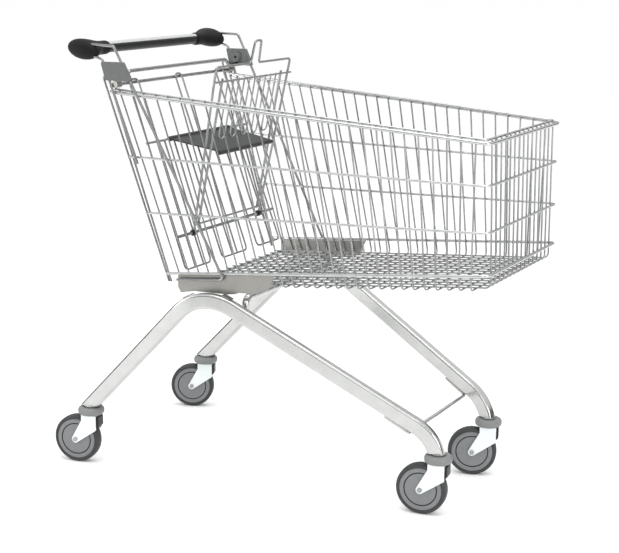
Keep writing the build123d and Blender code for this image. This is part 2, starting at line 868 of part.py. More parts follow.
def back_point(y, level, offset=0.0):
    """A point on the seat back, level mm up it from its pivot, moved forwards off it by offset."""
    lean = radians(seat_back_lean)
    return (
        seat_x + level * sin(lean) + offset * cos(lean),
        y,
        seat_z + level * cos(lean) - offset * sin(lean),
    )


with BuildPart() as knuckles:
    for side in sides.values():
        inner_face = side * (seat_frame_bottom_half - knuckle_width / 2)
        ring = Plane(origin=(seat_x, inner_face, seat_z), x_dir=(1, 0, 0), z_dir=(0, side, 0))
        with BuildSketch(ring):
            Circle(knuckle_radius)
            Circle(lower_rod_radius + running_gap, mode=Mode.SUBTRACT)
        extrude(amount=knuckle_width)
save(knuckles.part, "seat_back_knuckles")

with BuildPart() as back_frame:
    for side in sides.values():
        rod(
            [
                back_point(side * seat_frame_bottom_half, knuckle_radius + clear_gap),
                back_point(side * seat_frame_top_half, seat_frame_top),
                back_point(side * (seat_frame_top_half - 2 * seat_frame_bend), seat_frame_top),
            ],
            seat_frame_radius,
            seat_frame_bend,
        )
    join = seat_frame_top_half - 2 * seat_frame_bend - weld_gap
    rod(
        [
            back_point(-join, seat_frame_top),
            back_point(-hook_half, seat_frame_top),
            back_point(-hook_half + 5, seat_frame_top + hook_height),
            back_point(hook_half - 5, seat_frame_top + hook_height),
            back_point(hook_half, seat_frame_top),
            back_point(join, seat_frame_top),
        ],
        seat_frame_radius,
        hook_bend,
    )
save(back_frame.part, "seat_back_frame")

with BuildPart() as back_bars:
    bar_offset = thick_wire_radius + weld_gap + gate_wire_radius
    for side in sides.values():
        rod(
            [
                back_point(side * thick_wire_half, bottom_cross_level - 6),
                back_point(side * thick_wire_half, upper_wire_level + 6),
            ],
            thick_wire_radius,
        )
    rod([back_point(-upper_wire_half, upper_wire_level, bar_offset),
         back_point(upper_wire_half, upper_wire_level, bar_offset)], gate_wire_radius)
    rod([back_point(-seat_frame_bottom_half - 4, bottom_cross_level, bar_offset),
         back_point(seat_frame_bottom_half + 4, bottom_cross_level, bar_offset)], gate_wire_radius)
save(back_bars.part, "seat_back_bars")

with BuildPart() as hairpins:
    pin_offset = bar_offset - gate_wire_radius - weld_gap - hairpin_radius
    for i in range(hairpin_count):
        y = hairpin_pitch * (i - (hairpin_count - 1) / 2)
        rod(
            [
                back_point(y - hairpin_half, upper_wire_level + hairpin_end, pin_offset),
                back_point(y - hairpin_half, hairpin_bottom, pin_offset),
                back_point(y + hairpin_half, hairpin_bottom, pin_offset),
                back_point(y + hairpin_half, upper_wire_level + hairpin_end, pin_offset),
            ],
            hairpin_radius,
            hairpin_half - 0.1,
        )
save(hairpins.part, "seat_back_hairpins")

# ---- Child seat flap ----

flap_axis = gate_point(0, seat_wire_level, seat_wire_offset)
flap_x, flap_z = flap_axis[0], flap_axis[2]
with BuildPart() as flap:
    tilt = radians(flap_angle)
    section = Plane(
        origin=(flap_x, 0, flap_z), x_dir=(cos(tilt), 0, -sin(tilt)), z_dir=(0, -1, 0)
    )
    with BuildSketch(section):
        Circle(flap_roll_radius)
        with Locations((flap_length / 2, 0)):
            Rectangle(flap_length, flap_sheet)
        with Locations((flap_length, -flap_lip_radius + flap_sheet / 2)):
            Circle(flap_lip_radius)
    extrude(amount=flap_rear_half, both=True)
    with BuildSketch(Plane(origin=section.origin, x_dir=section.x_dir, z_dir=section.y_dir)):
        Polygon(
            (-20, -flap_rear_half),
            (flap_roll_radius, -flap_rear_half),
            (flap_length + 20, -flap_front_half),
            (flap_length + 20, flap_front_half),
            (flap_roll_radius, flap_rear_half),
            (-20, flap_rear_half),
            align=None,
        )
    extrude(amount=40, both=True, mode=Mode.INTERSECT)
    with BuildSketch(section):
        Circle(seat_wire_radius + running_gap)
    extrude(amount=flap_rear_half + 1, both=True, mode=Mode.SUBTRACT)
save(flap.part, "seat_flap")

print("rear axis x", rear_x)
print("gate pivot", pivot)
print("seat back pivot", seat_axis)
print("seat flap hinge", flap_axis)
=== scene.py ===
import json
import math

import bmesh
import bpy
import numpy as np
from mathutils import Matrix, Vector

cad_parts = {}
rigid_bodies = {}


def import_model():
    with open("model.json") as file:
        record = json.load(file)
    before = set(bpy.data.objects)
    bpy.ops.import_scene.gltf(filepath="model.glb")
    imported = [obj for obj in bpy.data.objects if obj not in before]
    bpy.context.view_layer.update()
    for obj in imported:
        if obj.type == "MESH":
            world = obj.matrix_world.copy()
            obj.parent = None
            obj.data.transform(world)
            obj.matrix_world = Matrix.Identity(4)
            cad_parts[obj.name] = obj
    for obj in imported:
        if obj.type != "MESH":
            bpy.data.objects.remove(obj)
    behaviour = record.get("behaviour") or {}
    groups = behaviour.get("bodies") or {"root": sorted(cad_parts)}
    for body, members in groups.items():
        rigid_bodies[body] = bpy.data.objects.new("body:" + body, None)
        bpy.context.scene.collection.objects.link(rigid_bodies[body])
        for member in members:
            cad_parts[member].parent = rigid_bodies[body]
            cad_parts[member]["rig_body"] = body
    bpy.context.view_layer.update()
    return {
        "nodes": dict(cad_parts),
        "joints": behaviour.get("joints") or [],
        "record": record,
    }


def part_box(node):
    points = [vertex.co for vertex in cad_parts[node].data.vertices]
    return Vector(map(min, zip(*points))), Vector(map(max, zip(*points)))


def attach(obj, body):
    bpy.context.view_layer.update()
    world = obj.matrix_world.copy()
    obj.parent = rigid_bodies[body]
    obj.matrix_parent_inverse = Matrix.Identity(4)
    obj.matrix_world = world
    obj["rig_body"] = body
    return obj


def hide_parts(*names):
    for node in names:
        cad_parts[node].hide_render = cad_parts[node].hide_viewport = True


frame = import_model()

# One millimetre in Blender's metres; sizes below are in millimetres unless a comment says metres
mm = 0.001
sides = {"right": -1.0, "left": 1.0}
castors = ("rear_right", "rear_left", "front_right", "front_left")
joints = {joint["name"]: joint for joint in frame["joints"]}


# Materials

def hexColor(code):
    # sRGB hex to linear colour
    channels = np.array([int(code[i:i + 2], 16) for i in (1, 3, 5)]) / 255
    linear = np.where(channels > 0.04045, ((channels + 0.055) / 1.055) ** 2.4, channels / 12.92)
    return (*linear.tolist(), 1.0)


def addNode(tree, kind, inputs=None, **settings):
    # one shader node, its settings, and its inputs as values or links
    node = tree.nodes.new(kind)
    for key, value in settings.items():
        setattr(node, key, value)
    for key, value in (inputs or {}).items():
        if isinstance(value, bpy.types.NodeSocket):
            tree.links.new(value, node.inputs[key])
        else:
            node.inputs[key].default_value = value
    return node


# How every finish reads its noises; grain and bump are given per finish in millimetres
noiseValues = {
    "patchSize": 12,
    "patchDetail": 4,
    "fineDetail": 3,
    "low": 0.3,
    "high": 0.7,
    "relief": 0.6,
}


def makeMaterial(
    name, light, dark, grain, metallic, roughness, spread, bump, stretch=(1, 1, 1), **sockets
):
    # the colour drifts over broad patches, the roughness and the bump over a fine grain
    material = bpy.data.materials.new(name)
    material.use_nodes = True
    tree = material.node_tree
    shader = tree.nodes["Principled BSDF"]
    place = addNode(tree, "ShaderNodeTexCoord")
    turned = addNode(
        tree, "ShaderNodeMapping", {"Vector": place.outputs["Object"], "Scale": stretch}
    )
    patches = addNode(
        tree,
        "ShaderNodeTexNoise",
        {
            "Vector": turned.outputs["Vector"],
            "Scale": 1 / (grain * noiseValues["patchSize"] * mm),
            "Detail": noiseValues["patchDetail"],
        },
    )
    fine = addNode(
        tree,
        "ShaderNodeTexNoise",
        {
            "Vector": turned.outputs["Vector"],
            "Scale": 1 / (grain * mm),
            "Detail": noiseValues["fineDetail"],
        },
    )
    blend = addNode(
        tree,
        "ShaderNodeMix",
        {"Factor": patches.outputs["Fac"]},
        data_type="RGBA",
        blend_type="MIX",
    )
    blend.inputs["A"].default_value = hexColor(dark)
    blend.inputs["B"].default_value = hexColor(light)
    rough = addNode(
        tree,
        "ShaderNodeMapRange",
        {
            "Value": fine.outputs["Fac"],
            "From Min": noiseValues["low"],
            "From Max": noiseValues["high"],
            "To Min": roughness - spread,
            "To Max": roughness + spread,
        },
    )
    relief = addNode(
        tree,
        "ShaderNodeBump",
        {
            "Height": fine.outputs["Fac"],
            "Strength": noiseValues["relief"],
            "Distance": bump * mm,
        },
    )
    tree.links.new(blend.outputs["Result"], shader.inputs["Base Color"])
    tree.links.new(rough.outputs["Result"], shader.inputs["Roughness"])
    tree.links.new(relief.outputs["Normal"], shader.inputs["Normal"])
    shader.inputs["Metallic"].default_value = metallic
    for key, value in sockets.items():
        shader.inputs[key].default_value = value
    return material


# Bright zinc plated drawn steel wire: a hard, slightly streaky shine
zincWire = makeMaterial(
    "brightZincWire", light="#a2a3a2", dark="#7b7d7d", grain=1.5, metallic=1.0,
    roughness=0.2, spread=0.05, bump=0.02, stretch=(1, 1, 0.3),
)
# The same plating on the thicker rim and rings, painted lighter than the wire as painted highlight
# for the overhead light they take
zincRingPaintedHighlight = makeMaterial(
    "brightZincRingPaintedHighlight", light="#d4d5d4", dark="#a6a8a8", grain=1.5, metallic=1.0,
    roughness=0.16, spread=0.04, bump=0.02, stretch=(1, 1, 0.3),
)
# Bright zinc plated welded tube: the same plating on a smoother surface
zincTube = makeMaterial(
    "brightZincTube", light="#c6c7c5", dark="#b2b3b2", grain=3.0, metallic=1.0,
    roughness=0.22, spread=0.05, bump=0.01,
)
# Passivated zinc on pressed sheet: paler, milky, with a faint blue cast
zincSheet = makeMaterial(
    "passivatedZincSheet", light="#eef3f3", dark="#dfe6e7", grain=4.0, metallic=0.55,
    roughness=0.38, spread=0.06, bump=0.01,
)
# Zinc plated carrier sheet, duller
zincPlate = makeMaterial(
    "dullZincPlate", light="#9b9a96", dark="#868581", grain=3.0, metallic=0.85,
    roughness=0.36, spread=0.07, bump=0.02,
)
# Zinc plated bolts and stems
zincHardware = makeMaterial(
    "zincPlatedSteel", light="#b0b2b1", dark="#8e9090", grain=2.0, metallic=1.0,
    roughness=0.3, spread=0.06, bump=0.02,
)
# Moulded grey polypropylene with an eroded texture
bracketPlastic = makeMaterial(
    "greyMouldedPolypropylene", light="#606362", dark="#545756", grain=0.9, metallic=0.0,
    roughness=0.5, spread=0.06, bump=0.12,
)
# A lighter grey, a little coarser, on the bumper rings
bumperPlastic = makeMaterial(
    "greyMouldedPolyethylene", light="#7f8180", dark="#727473", grain=1.4, metallic=0.0,
    roughness=0.52, spread=0.06, bump=0.1,
)
# Black grained polyamide on the handle caps
capPlastic = makeMaterial(
    "blackGrainedPolyamide", light="#101011", dark="#08080a", grain=1.1, metallic=0.0,
    roughness=0.62, spread=0.08, bump=0.4,
    **{"Specular IOR Level": 0.22},
)
# Smooth black grip, drawn along the handle
gripPlastic = makeMaterial(
    "blackExtrudedPvc", light="#141515", dark="#0e0e0f", grain=2.0, metallic=0.0,
    roughness=0.4, spread=0.05, bump=0.04, stretch=(1, 0.2, 1),
    **{"Specular IOR Level": 0.35},
)
# The black seat flap, and the coarser grain of its upper face, whose lighter colour is painted
# highlight from the overhead light
seatPlastic = makeMaterial(
    "blackMouldedSeatPlastic", light="#1a1b1c", dark="#121314", grain=1.0, metallic=0.0,
    roughness=0.46, spread=0.06, bump=0.12,
)
seatTopGrainAndLight = makeMaterial(
    "grainedSeatTopPaintedLight", light="#313233", dark="#28292a", grain=1.1, metallic=0.0,
    roughness=0.52, spread=0.06, bump=0.3,
)
# Near black inserts in the forks, and painted shade in the groove round each wheel
insertPlasticAndGrooveShade = makeMaterial(
    "blackMouldedInsertAndGrooveShade", light="#0c0c0d", dark="#080809", grain=1.0, metallic=0.0,
    roughness=0.45, spread=0.05, bump=0.05,
)
# Pale satin strip let into the grip's top
stripPlastic = makeMaterial(
    "paleSatinStrip", light="#b4b6b6", dark="#a9abab", grain=3.0, metallic=0.0,
    roughness=0.3, spread=0.04, bump=0.01,
)
# Dark elastic rubber tread and the grey polypropylene wheel body
tyreRubber = makeMaterial(
    "darkGreyTyreRubber", light="#363839", dark="#2a2c2d", grain=1.2, metallic=0.0,
    roughness=0.58, spread=0.06, bump=0.1,
)
wheelPlastic = makeMaterial(
    "greyWheelPlastic", light="#7d7f80", dark="#6f7172", grain=1.0, metallic=0.0,
    roughness=0.45, spread=0.05, bump=0.12,
)

finishes = {
    "zinc_wire": zincWire,
    "zinc_tube": zincTube,
    "zinc_sheet": zincSheet,
    "zinc_hardware": zincHardware,
    "bracket_plastic": bracketPlastic,
    "bumper_plastic": bumperPlastic,
    "grip_plastic": gripPlastic,
    "seat_plastic": seatPlastic,
    "insert_plastic": insertPlasticAndGrooveShade,
    "tyre_rubber": tyreRubber,
    "wheel_plastic": wheelPlastic,
}
# Pieces whose finish differs from the rest of their slot
ownFinishes = {
    # the rim and rings: the wire plating painted lighter as painted highlight
    "basket_rim": zincRingPaintedHighlight,
    "basket_rings": zincRingPaintedHighlight,
    "basket_base_ring": zincRingPaintedHighlight,
    "gate_hinge_cups": zincPlate,
    "right_carrier_plate": zincPlate,
    "left_carrier_plate": zincPlate,
}
slotOf = {entry["node"]: entry["material_slot"] for entry in frame["record"]["subparts"]}
for nodeName, node in frame["nodes"].items():
    for cadSlot in node.material_slots:
        cadSlot.material = ownFinishes.get(nodeName, finishes[slotOf[nodeName]])
print("materials done")


# Shapes worked out on grids

meshValues = {"weld": 1e-6, "sharp": 35, "turnSteps": 72}


def makePiece(
    name, points, faces, material, body, replaced=(), sharp=meshValues["sharp"]
):
    # a closed mesh in metres that rides on a body
    mesh = bpy.data.meshes.new(name)
    mesh.from_pydata(points.tolist(), [], faces)
    work = bmesh.new()
    work.from_mesh(mesh)
    bmesh.ops.remove_doubles(work, verts=work.verts, dist=meshValues["weld"])
    bmesh.ops.recalc_face_normals(work, faces=work.faces)
    work.to_mesh(mesh)
    work.free()
    mesh.shade_smooth()
    mesh.set_sharp_from_angle(angle=math.radians(sharp))
    mesh.materials.append(material)
    piece = bpy.data.objects.new(name, mesh)
    bpy.context.scene.collection.objects.link(piece)
    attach(piece, body)
    if replaced:
        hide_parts(*replaced)
    return piece


def gridFaces(rows, columns, wrapRows, wrapColumns):
    # quads between neighbouring grid points, and one cap on each open end row
    row, column = np.meshgrid(
        np.arange(rows if wrapRows else rows - 1),
        np.arange(columns if wrapColumns else columns - 1),
        indexing="ij",
    )
    nextRow, nextColumn = (row + 1) % rows, (column + 1) % columns
    corners = [row * columns + column, row * columns + nextColumn]
    corners += [nextRow * columns + nextColumn, nextRow * columns + column]
    faces = np.stack(corners, axis=-1).reshape(-1, 4).tolist()
    if not wrapRows:
        faces += [list(range(columns)), list(range((rows - 1) * columns, rows * columns))]
    return faces


def arcPoints(centre, radius, first, last, count):
    # points on a circle in the plane of (distance from the axis, distance along it)
    angles = np.radians(np.linspace(first, last, count))
    circle = np.stack([np.cos(angles), np.sin(angles)], axis=1)
    return np.array(centre, float) + radius * circle


def turnedGrid(profile, centre, axis, steps):
    # a profile in mm carried round an axis: centre + along * axis + radius * (cos * u + sin * v)
    axis = np.array(axis, float)
    across = np.cross(axis, (0.0, 0.0, 1.0) if abs(axis[2]) < 0.9 else (1.0, 0.0, 0.0))
    across /= np.linalg.norm(across)
    other = np.cross(axis, across)
    angles = np.linspace(0, 2 * math.pi, steps, endpoint=False)[:, None, None]
    radius = profile[None, :, :1] * mm
    along = profile[None, :, 1:] * mm
    outward = np.cos(angles) * across + np.sin(angles) * other
    return (np.array(centre) + along * axis + radius * outward).reshape(-1, 3)


def turnedPiece(
    name, profile, centre, axis, steps, material, body, replaced,
    sharp=meshValues["sharp"],
):
    # a closed profile turned right round
    points = turnedGrid(profile, centre, axis, steps)
    faces = gridFaces(steps, len(profile), True, True)
    return makePiece(name, points, faces, material, body, replaced, sharp)


def mirrored(profile):
    # closes a half profile with its mirror image across the middle plane
    return np.concatenate([profile, profile[::-1] * (1, -1)])


edgeValues = {"weld": 1e-5, "flat": 2, "segments": 2, "angle": 40}


def softenedCopy(node, width, material):
    # a copy of a CAD node with its edges rounded off, width in mm
    source = frame["nodes"][node]
    mesh = source.data.copy()
    work = bmesh.new()
    work.from_mesh(mesh)
    bmesh.ops.remove_doubles(work, verts=work.verts, dist=edgeValues["weld"])
    bmesh.ops.dissolve_limit(
        work,
        angle_limit=math.radians(edgeValues["flat"]),
        verts=work.verts,
        edges=work.edges,
        delimit={"NORMAL"},
    )
    bmesh.ops.recalc_face_normals(work, faces=work.faces)
    work.to_mesh(mesh)
    work.free()
    mesh.materials.clear()
    mesh.materials.append(material)
    mesh.shade_smooth()
    mesh.set_sharp_from_angle(angle=math.radians(meshValues["sharp"]))
    piece = bpy.data.objects.new("soft_" + node, mesh)
    bpy.context.scene.collection.objects.link(piece)
    bevel = piece.modifiers.new("edges", "BEVEL")
    bevel.width = width * mm
    bevel.segments = edgeValues["segments"]
    bevel.limit_method = "ANGLE"
    bevel.angle_limit = math.radians(edgeValues["angle"])
    bevel.harden_normals = True
    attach(piece, source["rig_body"])
    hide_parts(node)
    return piece


# Castors

wheelValues = {
    "radius": 62.5,
    "halfWidth": 15.0,
    "shoulder": 7.0,
    "shoulderEnd": 8,
    "crownDrop": 0.25,
    "crownEdge": 5.0,
    "crownEdgeDrop": 0.1,
    "crownFlat": 2.0,
    "seatGap": 0.06,
    "lipEase": 0.7,
    "lipEaseDrop": 0.4,
    "lipRise": 1.6,
    "lipDrop": 1.1,
    "coreRadius": 53.0,
    "coreHalf": 13.5,
    "hubRadius": 11.5,
    "hubHalf": 15.8,
    "hubEase": 1.0,
    "hubFoot": 0.5,
    "hubFootDrop": 0.2,
    "discStart": 2.5,
    "discDrop": 0.5,
    "bore": 4.06,
    "grooveRadius": 40.5,
    "grooveWidth": 2.8,
    "grooveDepth": 2.2,
    "grooveEase": 0.6,
    "grooveEaseDrop": 0.4,
    "grooveLipDrop": 0.8,
    "grooveSlope": 0.2,
    "rimLipDrop": 0.6,
    "rimFlatEnd": 2.4,
    "rimEase": 0.9,
    "rimEaseDrop": 0.3,
    "rimEnd": 0.1,
    "rimEndDrop": 1.3,
    "bendSteps": 9,
    "steps": 96,
    "sharp": 25,
    "grooveShadeMargin": 0.1,
    "grooveShadeFrom": 10.0,
}
bumperValues = {
    "inner": 7.2,
    "outer": 34.0,
    "low": 131.6,
    "height": 20.0,
    "rounding": 8.5,
    "bendSteps": 9,
    "bendEnd": 4,
    "flatInner": 20.0,
    "stepInner": 19.0,
    "stepDrop": 1.2,
}
softWidths = {"fork": 0.9, "insert": 1.2, "bolt": 0.6}


def tyreProfile():
    # sidewall step, rounded shoulder, slightly crowned tread
    v = wheelValues
    core, side = v["coreRadius"], v["halfWidth"]
    lip = np.array(
        [
            (core + v["seatGap"], side - v["lipDrop"]),
            (core + v["lipEase"], side - v["lipEaseDrop"]),
            (core + v["lipRise"], side),
        ]
    )
    middle = (v["radius"] - v["shoulder"] - v["crownDrop"], side - v["shoulder"])
    bend = arcPoints(middle, v["shoulder"], 90, v["shoulderEnd"], v["bendSteps"])
    crown = np.array(
        [(v["radius"] - v["crownEdgeDrop"], v["crownEdge"]), (v["radius"], v["crownFlat"])]
    )
    return mirrored(np.concatenate([lip, bend, crown]))


def coreProfile():
    # hub boss, flat disc, a groove round it, and a rim with eased edges
    v = wheelValues
    groove = v["grooveRadius"] - v["grooveWidth"] / 2
    outer = groove + v["grooveWidth"]
    face = v["coreHalf"]
    hub = v["hubRadius"]
    rim = v["coreRadius"]
    floor = face - v["grooveDepth"]
    half = [
        (v["bore"], v["hubHalf"]),
        (hub - v["hubEase"], v["hubHalf"]),
        (hub, v["hubHalf"] - v["hubEase"]),
        (hub + v["hubFoot"], face - v["hubFootDrop"]),
        (hub + v["discStart"], face - v["discDrop"]),
        (groove - v["grooveEase"], face - v["grooveEaseDrop"]),
        (groove, face - v["grooveLipDrop"]),
        (groove + v["grooveSlope"], floor),
        (outer - v["grooveSlope"], floor),
        (outer, face - v["rimLipDrop"]),
        (outer + v["grooveEase"], face),
        (rim - v["rimFlatEnd"], face),
        (rim - v["rimEase"], face - v["rimEaseDrop"]),
        (rim - v["rimEnd"], face - v["rimEndDrop"]),
    ]
    return mirrored(np.array(half))


def bumperProfile():
    # flat top and bottom near the stem, one full bulge outwards
    v = bumperValues
    low, high = v["low"], v["low"] + v["height"]
    reach = v["outer"] - v["rounding"]
    bend, end, steps = v["rounding"], v["bendEnd"], v["bendSteps"]
    under = arcPoints((reach, low + bend), bend, -90, -end, steps)
    over = arcPoints((reach, high - bend), bend, end, 90, steps)
    step = high - v["stepDrop"]
    inner = np.array(
        [
            (v["flatInner"], high),
            (v["stepInner"], step),
            (v["inner"], step),
            (v["inner"], low),
            (v["flatInner"], low),
        ]
    )
    return np.concatenate([under, over, inner])


def facePlaces(mesh, kind):
    # the middle or the normal of every face, one row each
    flat = np.zeros(len(mesh.polygons) * 3)
    mesh.polygons.foreach_get(kind, flat)
    return flat.reshape(-1, 3)


def paintGrooveShade(core, hub, spinAxis):
    # faces at the groove's distance from the axle take the near black finish, painted shade in the
    # groove
    v = wheelValues
    core.data.materials.append(insertPlasticAndGrooveShade)
    arms = facePlaces(core.data, "center") - np.array(hub)
    depth = np.abs(arms @ np.array(spinAxis)) / mm
    reach = np.sqrt(np.maximum((arms**2).sum(axis=1) - (depth * mm) ** 2, 0)) / mm
    inGroove = np.abs(reach - v["grooveRadius"]) < v["grooveWidth"] / 2 + v["grooveShadeMargin"]
    inGroove &= depth > v["grooveShadeFrom"]
    core.data.polygons.foreach_set("material_index", inGroove.astype(int))


for castor in castors:
    spin = joints[castor + "_wheel_spin"]
    swivel = joints[castor + "_swivel_turn"]
    hub, spinAxis = spin["pos_m"], spin["axis"]
    foot = (swivel["pos_m"][0], swivel["pos_m"][1], 0.0)
    turnedPiece(
        castor + "_rubber_tread", tyreProfile(), hub, spinAxis, wheelValues["steps"],
        tyreRubber, castor + "_wheel", [castor + "_tyre"],
    )
    core = turnedPiece(
        castor + "_wheel_body", coreProfile(), hub, spinAxis, wheelValues["steps"],
        wheelPlastic, castor + "_wheel", [castor + "_wheel_core"],
        wheelValues["sharp"],
    )
    paintGrooveShade(core, hub, spinAxis)
    turnedPiece(
        castor + "_soft_bumper", bumperProfile(), foot, (0, 0, 1), meshValues["turnSteps"],
        bumperPlastic, "frame", [castor + "_bumper_ring"],
    )
    softenedCopy(castor + "_fork", softWidths["fork"], zincSheet)
    softenedCopy(castor + "_fork_insert", softWidths["insert"], insertPlasticAndGrooveShade)
    softenedCopy(castor + "_axle_bolt", softWidths["bolt"], zincHardware)
print("castors done")


# Handle

handleValues = {
    "capStart": 199.0,
    "neckStart": 14.3,
    "neckFull": 209.0,
    "neckRun": 10.5,
    "neck": 17.2,
    "swellStart": 228.0,
    "widest": 286.0,
    "halfLength": 45.0,
    "halfHeight": 24.7,
    "end": 307.5,
    "swellRows": 36,
    "closeRows": 17,
    "tip": 1e-4,
    "shiftBack": 4.0,
    "tilt": 8.0,
    "sleeveBore": 11.3,
    "sleeveRadius": 13.5,
    "sleeveEase": 0.6,
    "sleeveEaseRun": 0.8,
    "sleeveHalf": 232.0,
    "stripHalf": 206.0,
    "stripRise": 0.7,
    "stripSink": 0.4,
    "stripFrom": 38.0,
    "stripTo": 118.0,
    "stripSteps": 25,
    "bracketSoft": 0.8,
}
sleeveLow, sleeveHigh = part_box("handle_sleeve")
handleMiddle = np.array((sleeveLow + sleeveHigh) / 2)


def smoothStep(share):
    # 0 to 1 with level ends: three times the square less twice the cube
    return share**2 * (3 - 2 * share)


def handleCap(side):
    # ellipses along the handle: they rise over the neck's rounded end, swell smoothly to the
    # widest place, and close as a quarter of an ellipsoid
    v = handleValues
    swell = np.linspace(v["capStart"], v["widest"], v["swellRows"])
    quarter = np.sin(np.linspace(0, math.pi / 2, v["closeRows"] + 1)[1:])
    closing = v["widest"] + (v["end"] - v["widest"]) * quarter
    out = np.concatenate([swell, closing])[:, None]
    ease = smoothStep(np.clip((out - v["swellStart"]) / (v["widest"] - v["swellStart"]), 0, 1))
    past = np.maximum(out - v["widest"], 0) / (v["end"] - v["widest"])
    closed = np.sqrt(np.clip(1 - past**2, 0, 1)) + v["tip"]
    short = (v["neckFull"] - np.minimum(out, v["neckFull"])) / v["neckRun"]
    lap = np.sqrt(np.clip(1 - short**2, 0, 1))
    neck = v["neckStart"] + (v["neck"] - v["neckStart"]) * lap
    length = (neck + (v["halfLength"] - neck) * ease) * closed
    height = (neck + (v["halfHeight"] - neck) * ease) * closed
    angles = np.linspace(0, 2 * math.pi, meshValues["turnSteps"], endpoint=False)[None, :]
    along, upwards = length * np.cos(angles), height * np.sin(angles)
    tilt = math.radians(v["tilt"]) * ease
    x = along * np.cos(tilt) + upwards * np.sin(tilt) - v["shiftBack"] * ease
    z = upwards * np.cos(tilt) - along * np.sin(tilt)
    y = side * out + np.zeros_like(x)
    return handleMiddle + np.stack([x, y, z], axis=-1).reshape(-1, 3) * mm


def gripProfile():
    # a straight sleeve with eased ends
    v = handleValues
    bore, outer, half = v["sleeveBore"], v["sleeveRadius"], v["sleeveHalf"]
    end, run = outer - v["sleeveEase"], half - v["sleeveEaseRun"]
    return np.array(
        [(bore, -half), (end, -half), (outer, -run), (outer, run), (end, half), (bore, half)]
    )


def gripStrip():
    # a thin strip bent over the grip's top, with eased long edges
    v = handleValues
    steps = v["stripSteps"]
    angles = np.radians(np.linspace(v["stripFrom"], v["stripTo"], steps))
    outer = v["sleeveRadius"] + v["stripRise"] * (1 - np.linspace(-1, 1, steps) ** 8)
    radius = np.concatenate([outer, np.full(steps, v["sleeveRadius"] - v["stripSink"])])
    angles = np.concatenate([angles, angles[::-1]])
    rows = np.array([-1.0, 0.0, 1.0])[:, None] * v["stripHalf"]
    x = (radius * np.cos(angles))[None, :] + 0 * rows
    z = (radius * np.sin(angles))[None, :] + 0 * rows
    y = rows + 0 * x
    return handleMiddle + np.stack([x, y, z], axis=-1).reshape(-1, 3) * mm


for sideName, side in sides.items():
    points = handleCap(side)
    rows = handleValues["swellRows"] + handleValues["closeRows"]
    makePiece(
        sideName + "_grained_cap", points, gridFaces(rows, meshValues["turnSteps"], False, True),
        capPlastic, "frame", [sideName + "_handle_cap"],
    )
turnedPiece(
    "smooth_grip", gripProfile(), handleMiddle, (0, 1, 0), meshValues["turnSteps"],
    gripPlastic, "frame", ["handle_sleeve"],
)
makePiece(
    "grip_top_strip", gripStrip(), gridFaces(3, 2 * handleValues["stripSteps"], False, True),
    stripPlastic, "frame",
)
for sideName in sides:
    softenedCopy(sideName + "_bracket_plate", handleValues["bracketSoft"], bracketPlastic)
print("handle done")


# Child seat

flapValues = {
    "tilt": 9.35,
    "length": 142.0,
    "sheet": 4.0,
    "roll": 6.5,
    "rollFrom": 20,
    "rollTo": 340,
    "rollSteps": 21,
    "rollRun": 9.0,
    "lip": 5.5,
    "lipFrom": 165,
    "lipTo": 450,
    "lipSteps": 19,
    "lipRun": 4.0,
    "underSteps": 12,
    "overSteps": 24,
    "rearHalf": 142.5,
    "frontHalf": 128.5,
    "border": 6.0,
    "dish": 0.9,
    "dishRear": 20.0,
    "dishFront": 14.0,
    "endShare": 0.985,
    "endRun": 0.02,
    "endThin": 0.35,
    "rows": 41,
    "sharp": 50,
    "grainAndLightFrom": 0.05,
    "grainAndLightTo": 0.96,
    "grainAndLightLevel": 0.9,
}


def flapWidth(reach):
    # half the flap's width in mm, from the hinge at 0 to the lip at 1
    v = flapValues
    return v["rearHalf"] + (v["frontHalf"] - v["rearHalf"]) * np.clip(reach, 0, 1)


def flapPoints():
    # one section, a roll round the hinge wire, a sheet and a turned-down lip, is carried across
    # a width that narrows towards the lip; the sheet dips towards its middle, and thins at its ends
    v = flapValues
    half, length = v["sheet"] / 2, v["length"]
    roll = arcPoints((0, 0), v["roll"], v["rollFrom"], v["rollTo"], v["rollSteps"])
    low = np.linspace(v["rollRun"], length - v["rollRun"], v["underSteps"])
    under = np.stack([low, np.full_like(low, -half)], axis=1)
    lip = arcPoints((length, half - v["lip"]), v["lip"], v["lipFrom"], v["lipTo"], v["lipSteps"])
    high = np.linspace(length - v["lipRun"], v["rollRun"], v["overSteps"])
    over = np.stack([high, np.full_like(high, half)], axis=1)
    section = np.concatenate([roll, under, lip, over])
    along, rise = section[None, :, 0], section[None, :, 1]
    share = np.sin(np.linspace(-1, 1, v["rows"]) * math.pi / 2)[:, None]
    width = flapWidth(along / length)
    across = share * width
    onSheet = np.clip(along / v["dishRear"], 0, 1)
    onSheet = onSheet * np.clip((length - along) / v["dishFront"], 0, 1)
    inside = np.clip((width - np.abs(across)) / (2 * v["border"]), 0, 1)
    ends = 1 - (np.abs(share) - v["endShare"]) / v["endRun"]
    rise = rise * np.sqrt(np.clip(ends, v["endThin"], 1)) - v["dish"] * onSheet * smoothStep(inside)
    tilt = math.radians(v["tilt"])
    x = along * math.cos(tilt) + rise * math.sin(tilt)
    z = rise * math.cos(tilt) - along * math.sin(tilt)
    points = np.stack([x, across + 0 * x, z], axis=-1).reshape(-1, 3)
    return np.array(joints["seat_flap_fold"]["pos_m"]) * (1, 0, 1) + points * mm, len(section)


